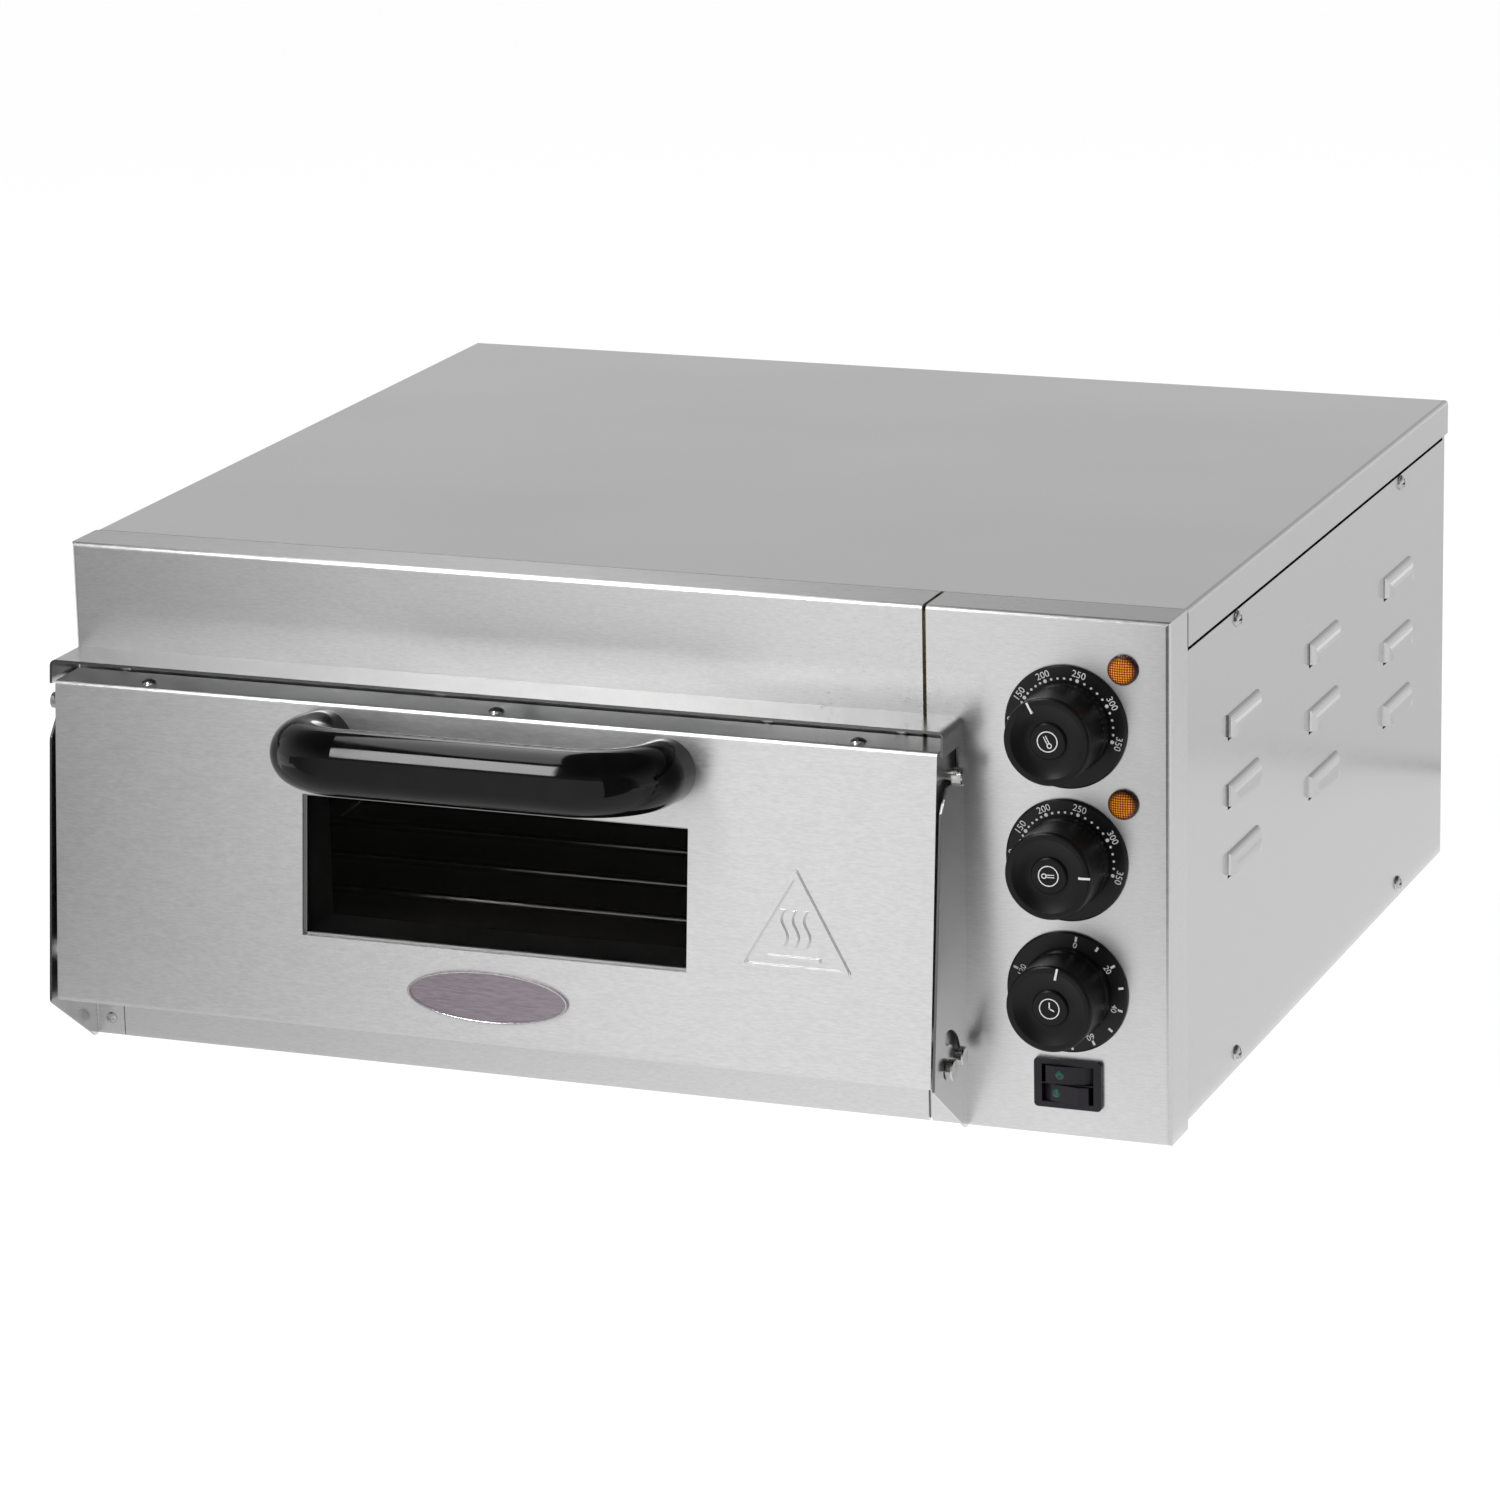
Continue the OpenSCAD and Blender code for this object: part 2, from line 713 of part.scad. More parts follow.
module switch_housing() {
    color("#1c1a1e") in_place() translate([switch_x, 0, switch_z]) difference() {
        union() {
            along_y(-bezel_reach, 0) polygon(soft_box(-bezel, bezel, [2, 2, 2, 2]));
            block([-13.9, 0, -9.9], [13.9, 26, 9.9]);
        }
        for (z = rocker_z)
            block([-rocker_open_w, -bezel_reach - 1, z - rocker_half_h - 0.3],
                [rocker_open_w, 12, z + rocker_half_h + 0.3]);
    }
    color("#1c1a1e") in_place()
        rod_z(switch_x, rocker_pivot_y, switch_z - 9.6, switch_z + 9.6, rocker_pin_r);
}

// Moves children to the pivot line of a rocker, then tilts them
module at_rocker(index) {
    tilt = index == 0 ? rocker_tilt : -rocker_tilt;
    in_place() translate([switch_x, rocker_pivot_y, switch_z + rocker_z[index]])
        rotate([0, 0, tilt]) translate([0, -rocker_pivot_y - bezel_reach, 0]) children();
}

lens_r = 2.1;
lens_x = -4.5;

module rocker(index) {
    w = rocker_half_w;
    color("#1c1a1e") at_rocker(index) difference() {
        along_z(-rocker_half_h, rocker_half_h) polygon(rounded(
            [[-w, 1], [-7, -1], [7, -1], [w, 1], [w - 2, 8], [-w + 2, 8]],
            [0.3, 0.8, 0.8, 0.3, 1, 1], 3));
        rod_y(lens_x, -3, 0.4, 0, lens_r);
        rod_z(0, rocker_pivot_y + bezel_reach, -5, 5, rocker_pin_r + 0.06);
    }
}

module upper_rocker() rocker(0);

module lower_rocker() rocker(1);

module rocker_lens(index) {
    color("seagreen") at_rocker(index) translate([lens_x, 0.4, 0]) rotate([90, 0, 0])
        rotate_extrude() polygon([[0, 0], [lens_r, 0], [lens_r, 1.4], [1.4, 1.7], [0, 1.8]]);
}

module upper_rocker_lens() rocker_lens(0);

module lower_rocker_lens() rocker_lens(1);

// ---------- electrics and underside ----------

module terminal_block() {
    color("ivory") in_place() translate([gland_x - 30, back_in - 70, 17]) difference() {
        block([0, 0, 0], [60, 22, 18]);
        for (i = [0 : 4])
            rod_z(6 + i * 12, 11, 6, 19, 3.4);
        block([-1, -1, 12], [61, 4, 19]);
        block([-1, 18, 12], [61, 23, 19]);
    }
}

// One insulated lead: down from a control, then back to the terminal block
module lead(x, z_top, y_top, y_end, z_low) {
    rod_z(x, y_top, z_low, z_top, 1.5);
    translate([x, y_top, z_low]) sphere(1.5);
    rod_y(x, y_top, y_end, z_low, 1.5);
}

module wiring_loom() {
    color("firebrick") in_place() {
        lead(dial_x - 34, dial_top_z, 34, back_in - 70.2, 26);
        lead(dial_x - 30, dial_top_z - dial_pitch, 34, back_in - 70.2, 22);
        lead(dial_x + 30, dial_top_z - 2 * dial_pitch, 34, back_in - 70.2, 22);
        rod_y(dial_x, 26, back_in - 70.2, 26, 1.5);
    }
}

module cable_gland() {
    color("#202020") in_place() translate([gland_x, back_in, gland_z]) difference() {
        union() {
            rod_y(0, -12, sheet, 0, 7.9);
            rod_y(0, -6, 0, 0, 12);
            translate([0, sheet, 0]) rotate([-90, 0, 0]) cylinder(h = 5, r = 12, $fn = 6);
            translate([0, sheet + 5, 0]) rotate([-90, 0, 0]) rotate_extrude() polygon(
                [[0, 0], [9.5, 0], [9.5, 8], [8.8, 12], [7, cabinet_d + gland_reach
                    - back_in - sheet - 5], [0, cabinet_d + gland_reach - back_in - sheet - 5]]);
        }
        rod_y(0, -20, 60, 0, gland_bore_r);
    }
}

foot_spots = [for (x = [-215, 215], y = [60, cabinet_d - 70]) [x, y]];

module rubber_feet() {
    color("#222222") in_place() for (p = foot_spots)
        translate([p[0], p[1], -foot_h]) rotate_extrude() polygon(
            [[0, 3], [4, 3], [4, 0], [11.5, 0], [12.5, 1], [14.5, foot_h + 2], [0, foot_h + 2]]);
}

module side_screws() {
    color("gainsboro") in_place() for (y = side_screw_y, z = side_screw_z) {
        translate([side_out, y, z]) rotate([0, 0, 90]) pan_screw(4.1, 2.3, screw_r, 6);
        translate([-side_out, y, z]) rotate([0, 0, -90]) pan_screw(4.1, 2.3, screw_r, 6);
    }
}

module rear_screws() {
    color("gainsboro") in_place() for (x = rear_screw_x, z = rear_screw_z)
        translate([x, back_in + sheet, z]) rotate([0, 0, 180]) pan_screw(4.1, 2.3, screw_r, 8);
}

// ---------- door ----------

module door_prism(inset) {
    along_x(door_left + inset, door_right - inset)
        polygon(rounded(door_profile(inset), [2.2, 0, 0, 2.2] * (inset > 0 ? 0.5 : 1)));
}

// The window's clear opening, from y0 to y1
module window_hole(y0, y1)
    block([window_x[0], y0, window_z[0]], [window_x[1], y1, window_z[1]]);

// Points of a wavy rib centred at (x, z)
function wave(x, z, h, w, side) = [
    for (i = [0 : 16]) let (t = side > 0 ? i / 16 : 1 - i / 16)
        [x + 1.6 * sin(360 * t) + side * w / 2, z + h * (t - 0.5)]
];

// Pressed heat mark: raised triangle, three waves and a bar, in two steps of relief
mark_x = 108.4;
mark_z = 98;
module heat_mark() {
    on_door(mark_z) translate([mark_x, 0, 0]) {
        along_y(-0.5, 0.5) heat_outline(0.5);
        along_y(-1, 0.5) heat_outline(0);
    }
}

// Ridges of the heat mark, widened by grow on each side
module heat_outline(grow) {
    tri = [[-28.6, -16.4], [28.6, -16.4], [0, 32.4]];
    difference() {
        polygon(rounded(tri * (1 + grow * 0.06), [1.5, 1.5, 1.5]));
        polygon(rounded(tri * (0.88 - grow * 0.06), [1, 1, 1]));
    }
    w = 1.6 + 2 * grow;
    for (x = [-5.8, -0.2, 5.4])
        polygon(concat(wave(x, 3.8, 17 + grow, w, -1), wave(x, 3.8, 17 + grow, w, 1)));
    polygon(soft_box([-13 - grow, -11.4 - grow], [13 + grow, -9.8 + grow], [1, 1, 1, 1] * 0.7, 3));
}

door_screw_x = [-230, -47, 135.6];
door_screw_y = -20.5;
handle_legs = [handle_x - handle_pitch / 2, handle_x + handle_pitch / 2];

module door_outer_skin() {
    color("lightgray") in_place() {
        difference() {
            door_prism(0);
            door_prism(skin);
            window_hole(-70, door_top_y + 6);
            both_sides() for (p = [pivot, stop, latch])
                rod_x(door_right - 10, door_right + 5, p[0], p[1], bolt_r);
            for (x = handle_legs)
                on_door(handle_z) rod_y(x, -5, 5, 0, bolt_r);
            for (x = door_screw_x)
                rod_z(x, door_screw_y, door_top - 5, door_top + 5, screw_r);
        }
        heat_mark();
    }
}

// Places children on the door's face at the middle height of the window
module at_window() on_door((window_z[0] + window_z[1]) / 2) children();

// Window outline in (x, z) about the middle height, grown by grow: low or high corner
function window_low(grow) = [window_x[0] - grow, -window_h / 2 - grow];
function window_high(grow) = [window_x[1] + grow, window_h / 2 + grow];

module window_frame() {
    wall = 1.2;
    color("gainsboro") in_place() at_window() {
        ring_y(window_low(wall), window_high(wall), wall, skin, glass_depth[0]);
        ring_y(window_low(10), window_high(10), 10, glass_depth[0] - 1, glass_depth[0]);
        ring_y(window_low(0.2), window_high(0.2), 1.2, glass_depth[0] - 1, glass_depth[0]);
    }
}

module door_glass() {
    color([0.1, 0.1, 0.12, 0.5]) in_place() at_window()
        block([window_low(9)[0], glass_depth[0], window_low(9)[1]],
            [window_high(9)[0], glass_depth[1], window_high(9)[1]]);
}

module door_inner_panel() {
    x = [door_left + skin + 0.1, door_right - skin - 0.1];
    z = [door_bottom + skin + 0.1, door_top - skin - 0.1];
    color("silver") in_place() difference() {
        union() {
            block([x[0], door_back - 1, z[0]], [x[1], door_back, z[1]]);
            ring_y([window_x[0] - 6, window_z[0] - 6], [window_x[1] + 6, window_z[1] + 6],
                6, -60, door_back);
        }
        window_hole(-70, 2);
        at_window() block([-300, -100, -100], [300, glass_depth[1], 100]);
    }
}

module door_gasket() {
    color("#2b2b2b") in_place()
        ring_y([chamber_x[0] - 6, 44], [chamber_x[1] + 6, door_top - 5.5], 9, door_back, -0.4);
}

module door_insulation() {
    color("khaki") in_place() difference() {
        intersection() {
            door_prism(skin + 0.5);
            block([door_left + 16, -60, 48], [door_right - 16, door_back - 1.5, door_top - 22]);
        }
        block([window_x[0] - 11, -70, window_z[0] - 11],
            [window_x[1] + 11, 0, window_z[1] + 11]);
        for (x = handle_legs)
            on_door(handle_z) rod_y(x, -5, 30, 0, 9);
    }
}

module handle_corner(x, y, turn) {
    translate([x, y, 0]) rotate([0, 0, turn])
        rotate_extrude(angle = 90) translate([handle_bend, 0]) circle(handle_dia / 2);
}

handle_bend = 32;

module door_handle() {
    r = handle_dia / 2;
    knee = handle_reach - handle_bend;
    color("#0c0c0c") in_place() on_door(handle_z) difference() {
        union() {
            for (x = handle_legs)
                rod_y(x, -knee, 0, 0, r);
            handle_corner(handle_legs[0] + handle_bend, -knee, 180);
            handle_corner(handle_legs[1] - handle_bend, -knee, 270);
            rod_x(handle_legs[0] + handle_bend, handle_legs[1] - handle_bend,
                -handle_reach, 0, r);
        }
        for (x = handle_legs)
            rod_y(x, -12, 1, 0, bolt_r);
    }
}

module handle_screws() {
    color("gainsboro") in_place() on_door(handle_z) for (x = handle_legs) {
        rod_y(x, -11, skin, 0, bolt_r);
        rod_y(x, skin, skin + 1.2, 0, 8);
        rod_y(x, skin + 1.2, skin + 5, 0, 5);
    }
}

module door_screws() {
    color("gainsboro") in_place() for (x = door_screw_x)
        translate([x, door_screw_y, door_top]) rotate([-90, 0, 0]) pan_screw(4, 2, screw_r, 8);
}

// Pin, bolt or stud of the door that reaches out through a wing
module side_bolt(p, head_r, head_h, gap) {
    both_sides() {
        rod_x(door_right - 8, hood_right + gap + 0.5, p[0], p[1], bolt_r);
        rod_x(door_right - skin - 4, door_right - skin, p[0], p[1], 4.6);
        translate([hood_right + gap, p[0], p[1]]) rotate([0, 90, 0]) rotate_extrude()
            polygon([[0, 0], [head_r, 0], [head_r, head_h - 0.6], [head_r - 0.6, head_h],
                [0, head_h]]);
    }
}

module latch_pins() {
    color("gainsboro") in_place() side_bolt(latch, 4.2, 5.2, 0.5);
}

module hinge_bolts() {
    color("gainsboro") in_place() side_bolt(pivot, 5, 3, 0.5);
}

module stop_bolts() {
    color("gainsboro") in_place() side_bolt(stop, 4.6, 3, 0.5);
}

badge = [41.5, 12.5];

module badge_plate() {
    color("#b5adb3") in_place() on_door(54.5) translate([mid_x + 3, 0, 0]) union() {
        along_y(-1.2, 0)
            polygon([for (a = [0 : 5 : 355]) [badge[0] * cos(a), badge[1] * sin(a)]]);
        along_y(-1.6, -1.2) difference() {
            polygon([for (a = [0 : 5 : 355]) [badge[0] * cos(a), badge[1] * sin(a)]]);
            polygon([for (a = [0 : 5 : 355])
                [(badge[0] - 1.4) * cos(a), (badge[1] - 1.4) * sin(a)]]);
        }
    }
}

base_plate();
rear_panel();
left_side_panel();
right_side_panel();
top_cover();
upper_fascia();
control_panel();
left_front_post();
lower_front_rail();
hood_bracket();
hood_rivets();
chamber_liner();
mouth_frame();
compartment_divider();
top_insulation();
bottom_insulation();
side_insulation();
rear_insulation();
baking_stone();
stone_rails();
wire_rack();
upper_heating_element();
lower_heating_element();
upper_thermostat_body();
lower_thermostat_body();
timer_body();
sensing_bulbs();
pilot_lamps();
dial_plates();
switch_housing();
terminal_block();
wiring_loom();
cable_gland();
rubber_feet();
side_screws();
rear_screws();
post_screw();
door_outer_skin();
door_inner_panel();
window_frame();
door_glass();
door_gasket();
door_insulation();
door_handle();
handle_screws();
door_screws();
latch_pins();
hinge_bolts();
stop_bolts();
badge_plate();
upper_thermostat_knob();
upper_thermostat_shaft();
lower_thermostat_knob();
lower_thermostat_shaft();
timer_knob();
timer_shaft();
upper_rocker();
lower_rocker();
upper_rocker_lens();
lower_rocker_lens();
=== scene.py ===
"""Looks for the countertop pizza oven: finishes, printed dials, knob marks, badge rim, floor and light."""
import json
import math

import bmesh
import bpy
from mathutils import Matrix, Vector


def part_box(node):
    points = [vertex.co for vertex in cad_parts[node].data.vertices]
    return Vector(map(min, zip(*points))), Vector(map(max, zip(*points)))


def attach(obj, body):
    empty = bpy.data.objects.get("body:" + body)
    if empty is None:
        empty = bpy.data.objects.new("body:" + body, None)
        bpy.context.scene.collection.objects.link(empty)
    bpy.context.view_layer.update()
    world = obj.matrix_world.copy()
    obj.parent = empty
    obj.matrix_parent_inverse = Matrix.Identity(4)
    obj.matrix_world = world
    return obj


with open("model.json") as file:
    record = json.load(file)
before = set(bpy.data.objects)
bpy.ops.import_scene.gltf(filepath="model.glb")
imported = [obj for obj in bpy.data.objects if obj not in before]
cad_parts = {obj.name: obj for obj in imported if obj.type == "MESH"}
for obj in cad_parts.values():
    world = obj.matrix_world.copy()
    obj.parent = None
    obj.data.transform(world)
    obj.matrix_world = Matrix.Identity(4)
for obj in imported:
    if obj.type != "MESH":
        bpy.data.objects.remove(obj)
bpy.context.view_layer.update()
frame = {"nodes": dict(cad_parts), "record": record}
nodes = frame["nodes"]

MM = 0.001
WHITE = (1, 1, 1, 1)

# As the CAD builds them: the hood bracket's depth and the slope of its wings, the door's lean in
# degrees, and how far the badge stands out.
HOOD_DEPTH = 28 * MM
WING_SLOPE = 0.112
DOOR_LEAN = 5.4
BADGE_RISE = 1.6 * MM


def put_in_scene(name, data):
    """Makes an object of a mesh, curve, light or camera, and links it to the scene."""
    made = bpy.data.objects.new(name, data)
    bpy.context.scene.collection.objects.link(made)
    return made


# ---------- camera ----------

AZIMUTH = math.radians(21.44)
ELEVATION = math.radians(15.63)
ROLL = math.radians(-1.241)
CAMERA_PLACE = (1.0645, -2.7344, 0.9440)
FOCAL_LENGTH = 143.67
SENSOR_WIDTH = 36


def make_camera():
    """The camera looks along azimuth and elevation, with a slight roll."""
    back = Vector((math.sin(AZIMUTH) * math.cos(ELEVATION),
                   -math.cos(AZIMUTH) * math.cos(ELEVATION),
                   math.sin(ELEVATION)))
    level = Vector((0, 0, 1)).cross(back).normalized()
    upright = back.cross(level)
    side = math.cos(ROLL) * level + math.sin(ROLL) * upright
    up = -math.sin(ROLL) * level + math.cos(ROLL) * upright
    lens = bpy.data.cameras.new("camera")
    lens.sensor_width = SENSOR_WIDTH
    lens.lens = FOCAL_LENGTH
    camera = put_in_scene("camera", lens)
    camera.matrix_world = Matrix((side, up, back)).transposed().to_4x4()
    camera.location = CAMERA_PLACE
    bpy.context.scene.camera = camera


# ---------- material building ----------

def feed(tree, socket, value):
    """Links another node's output to a socket, or sets the socket's own constant."""
    if isinstance(value, bpy.types.NodeSocket):
        tree.links.new(value, socket)
    else:
        socket.default_value = value


def add_node(tree, kind, inputs=None, **settings):
    """Adds a node with its settings, and feeds its inputs."""
    made = tree.nodes.new(kind)
    for key, value in settings.items():
        setattr(made, key, value)
    for key, value in (inputs or {}).items():
        feed(tree, made.inputs[key], value)
    return made


class Look:
    """A Principled material, with short calls that add nodes to it."""

    def __init__(self, name, **sockets):
        self.material = bpy.data.materials.new(name)
        self.material.use_nodes = True
        self.tree = self.material.node_tree
        self.shader = self.tree.nodes["Principled BSDF"]
        for socket, value in sockets.items():
            self.set(socket.replace("_", " "), value)

    def node(self, kind, inputs=None, **settings):
        return add_node(self.tree, kind, inputs, **settings)

    def set(self, socket, value):
        feed(self.tree, self.shader.inputs[socket], value)

    def where(self, scale=(1, 1, 1), turn=(0, 0, 0)):
        """Place on the object in the frame's metres, scaled."""
        place = self.node("ShaderNodeTexCoord").outputs["Object"]
        inputs = {"Vector": place, "Scale": scale, "Rotation": turn}
        return self.node("ShaderNodeMapping", inputs).outputs["Vector"]

    def noise(self, scale, detail=2.0, rough=0.5):
        """Noise whose grains are 1 / scale metres along each axis."""
        inputs = {"Vector": self.where(scale), "Scale": 1.0, "Detail": detail, "Roughness": rough}
        return self.node("ShaderNodeTexNoise", inputs).outputs["Fac"]

    def spread(self, value, low, high, start=0.3, end=0.7):
        """Maps start..end of a texture to low..high."""
        inputs = {"Value": value, "From Min": start, "From Max": end, "To Min": low, "To Max": high}
        return self.node("ShaderNodeMapRange", inputs).outputs["Result"]

    def math(self, operation, a, b):
        return self.node("ShaderNodeMath", {0: a, 1: b}, operation=operation).outputs["Value"]

    def blend(self, amount, first, second):
        """Mixes two colours."""
        inputs = {0: amount, 6: first, 7: second}
        return self.node("ShaderNodeMix", inputs, data_type="RGBA").outputs[2]

    def bump(self, height, distance):
        """Adds relief of that depth, in metres, on top of the relief already there."""
        made = self.node("ShaderNodeBump", {"Height": height, "Distance": distance})
        normal = self.shader.inputs["Normal"]
        if normal.is_linked:
            self.tree.links.new(normal.links[0].from_socket, made.inputs["Normal"])
        self.tree.links.new(made.outputs["Normal"], normal)


def grey(value, warm=0.0):
    """A grey, a little warmer where warm is above zero."""
    return (value * (1 + warm), value, value * (1 - warm), 1)


# ---------- metals ----------

# Scales of the streaks in brushed steel: long along x, long along y, and the badge's finer ones.
GRAIN_X = (240, 1300, 1300)
GRAIN_Y = (900, 60, 900)
BADGE_GRAIN = (140, 2600, 2600)
GRAIN_RELIEF = 0.0000012


def brushed_steel(name, tone, rough, grain, across, wave=0.0003, streak=0.05, tint=(1, 1, 1), recolour=None):
    """Sheet steel with fine streaks along one axis, faint wiping marks and slow waves in the sheet.

    grain is the scale of the streaks on each axis. across runs across the streaks, and reflections
    smear along it."""
    look = Look(name, Metallic=1.0, Anisotropic=0.55)
    fine = look.noise(grain, detail=3, rough=0.6)
    coarse = look.noise([g * 0.28 for g in grain], detail=2)
    cloud = look.noise((7, 7, 7), detail=3)
    mixed = look.math("ADD", look.math("MULTIPLY", fine, 0.8), look.math("MULTIPLY", coarse, 0.2))
    dark = tuple(c * tone * (1 - streak) for c in tint) + (1,)
    light = tuple(c * tone * (1 + streak) for c in tint) + (1,)
    colour = look.blend(look.spread(mixed, 0, 1, 0.38, 0.62), dark, light)
    look.set("Base Color", recolour(look, colour) if recolour else colour)
    wiped = look.spread(cloud, rough - 0.015, rough + 0.02)
    grainy = look.spread(mixed, -0.02, 0.02, 0.38, 0.62)
    look.set("Roughness", look.math("ADD", wiped, grainy))
    tangent = dict(zip("XYZ", across))
    look.set("Tangent", look.node("ShaderNodeCombineXYZ", tangent).outputs["Vector"])
    look.bump(look.noise((5.5, 5.5, 5.5), detail=1), wave)
    look.bump(mixed, GRAIN_RELIEF)
    return look.material


def raw_front_edges(look, colour):
    """Paints the front edges of the hood bracket's shelf and slanted wings dark grey: painted shade along
    these edges.
    """
    shelf_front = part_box("upper_fascia")[0].y - HOOD_DEPTH
    shelf_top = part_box("hood_bracket")[1].z
    split = look.node("ShaderNodeSeparateXYZ", {"Vector": look.where()})
    below = look.math("SUBTRACT", shelf_top, split.outputs["Z"])
    edge = look.math("SUBTRACT", shelf_front, look.math("MULTIPLY", below, WING_SLOPE))
    behind = look.math("SUBTRACT", split.outputs["Y"], edge)
    # The dark grey is painted shade on the front edges, not the metal's own colour.
    return look.blend(look.spread(behind, 0, 1, 0.2 * MM, 0.4 * MM), grey(0.16), colour)


def bare_metal(name, colour, rough, second, spots=90):
    """Turned or drawn metal with stains of a second colour."""
    look = Look(name, Metallic=1.0)
    stain = look.noise((spots, spots, spots), detail=4)
    look.set("Base Color", look.blend(look.spread(stain, 0, 1), colour, second))
    look.set("Roughness", look.spread(look.noise((300, 300, 300)), rough - 0.05, rough + 0.08))
    look.bump(look.noise((900, 900, 900)), 0.00001)
    return look.material


# ---------- plastics, wool, clay and glass ----------

WAFFLE_SCALE = 270


def satin_plastic(name, colour, rough, grain=1400, depth=0.00002, **sockets):
    """Moulded plastic with a fine texture and slightly uneven gloss."""
    look = Look(name, **sockets)
    cloud = look.noise((60, 60, 60), detail=3)
    fine = look.noise((grain, grain, grain), detail=2)
    worn = tuple(c * 1.35 + 0.002 for c in colour[:3]) + (1,)
    look.set("Base Color", look.blend(look.spread(cloud, 0, 1), colour, worn))
    look.set("Roughness", look.spread(cloud, rough - 0.04, rough + 0.05))
    look.bump(fine, depth)
    return look.material


def mineral_wool():
    """Yellowish fibres in loose clumps."""
    look = Look("mineral_wool", Roughness=1.0)
    fibre = look.noise((350, 60, 500), detail=6, rough=0.7)
    clump = look.noise((45, 45, 45), detail=4)
    colour = look.blend(look.spread(clump, 0, 1), (0.42, 0.33, 0.14, 1), (0.60, 0.51, 0.27, 1))
    look.set("Base Color", look.blend(look.spread(fibre, 0, 0.5), colour, (0.75, 0.68, 0.45, 1)))
    look.bump(fibre, 0.0012)
    return look.material


def fire_clay():
    """Gritty baking stone, coloured dark as painted shade for the dim closed chamber, with darker blotches.
    """
    look = Look("fire_clay", Roughness=0.9)
    grit = look.noise((420, 420, 420), detail=5, rough=0.7)
    dark_blotch = look.noise((11, 11, 11), detail=3)
    # These dark browns are painted shade for the dim chamber, not the stone's own colour.
    colour = look.blend(look.spread(dark_blotch, 0, 0.6), (0.13, 0.11, 0.085, 1), (0.05, 0.04, 0.03, 1))
    look.set("Base Color", look.blend(look.spread(grit, 0, 0.55), colour, (0.20, 0.17, 0.14, 1)))
    look.bump(grit, 0.0003)
    return look.material


def gasket_braid():
    """Dark cord braided from strands that slant both ways."""
    look = Look("gasket_braid", Roughness=0.85)
    strands = []
    for turn in (0.8, -0.8):
        place = look.where((420, 420, 420), (0, turn, 0))
        wave = look.node("ShaderNodeTexWave", {"Vector": place, "Scale": 1.0, "Distortion": 0.6})
        strands.append(wave.outputs["Fac"])
    weave = look.math("MAXIMUM", strands[0], strands[1])
    look.set("Base Color", look.blend(weave, grey(0.03), grey(0.16, 0.06)))
    look.bump(weave, 0.0006)
    return look.material


def window_glass():
    """Dark, heat-resistant glass: the oven behind it only just shows."""
    look = Look("window_glass", IOR=1.1, Transmission_Weight=1.0)
    haze = look.noise((30, 30, 30), detail=4)
    look.set("Base Color", look.blend(look.spread(haze, 0, 1), grey(0.42, 0.01), grey(0.48, 0.02)))
    look.set("Roughness", look.spread(haze, 0.0, 0.02))
    return look.material


def amber_lens():
    """Orange lens moulded with a waffle of small cells, darker towards its rim."""
    look = Look("amber_lens", Roughness=0.18, IOR=1.5, Specular_IOR_Level=0.3)
    place = look.where()
    cells = []
    for direction in ("X", "Z"):
        inputs = {"Vector": place, "Scale": WAFFLE_SCALE}
        wave = look.node("ShaderNodeTexWave", inputs, bands_direction=direction)
        cells.append(wave.outputs["Fac"])
    waffle = look.math("MULTIPLY", cells[0], cells[1])
    flat = look.node("ShaderNodeVectorMath", {0: place, 1: (1, 0, 1)}, operation="MULTIPLY").outputs["Vector"]
    lo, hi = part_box("pilot_lamps")
    radius = (hi.x - lo.x) / 2
    reach = 1.0
    for z in (lo.z + radius, hi.z - radius):
        inputs = {0: flat, 1: (lo.x + radius, 0, z)}
        away = look.node("ShaderNodeVectorMath", inputs, operation="DISTANCE").outputs["Value"]
        reach = look.math("MINIMUM", away, reach)
    rim = look.spread(reach, 0, 1, radius * 0.62, radius * 0.92)
    orange = look.blend(look.spread(waffle, 0, 1, 0.05, 0.5), (0.20, 0.016, 0.001, 1), (1.0, 0.38, 0.015, 1))
    look.set("Base Color", look.blend(rim, orange, (0.045, 0.006, 0.002, 1)))
    look.set("Emission Color", look.blend(rim, orange, (0.0, 0.0, 0.0, 1)))
    look.set("Emission Strength", 0.22)
    look.bump(waffle, 0.0004)
    return look.material


def green_lens():
    """Small unlit green lens of a rocker."""
    look = Look("green_lens", Roughness=0.2, IOR=1.5)
    depth = look.noise((700, 700, 700), detail=2)
    deep = (0.002, 0.025, 0.016, 1)
    pale = (0.008, 0.11, 0.075, 1)
    look.set("Base Color", look.blend(look.spread(depth, 0, 1), deep, pale))
    return look.material


def white_print():
    """Slightly uneven white printing ink."""
    look = Look("white_print", Roughness=0.55)
    ink = look.noise((1500, 1500, 1500), detail=2)
    look.set("Base Color", look.blend(look.spread(ink, 0, 1), grey(0.62), grey(0.85)))
    look.bump(ink, 0.00001)
    return look.material


# ---------- finishes, by the record's material slot ----------

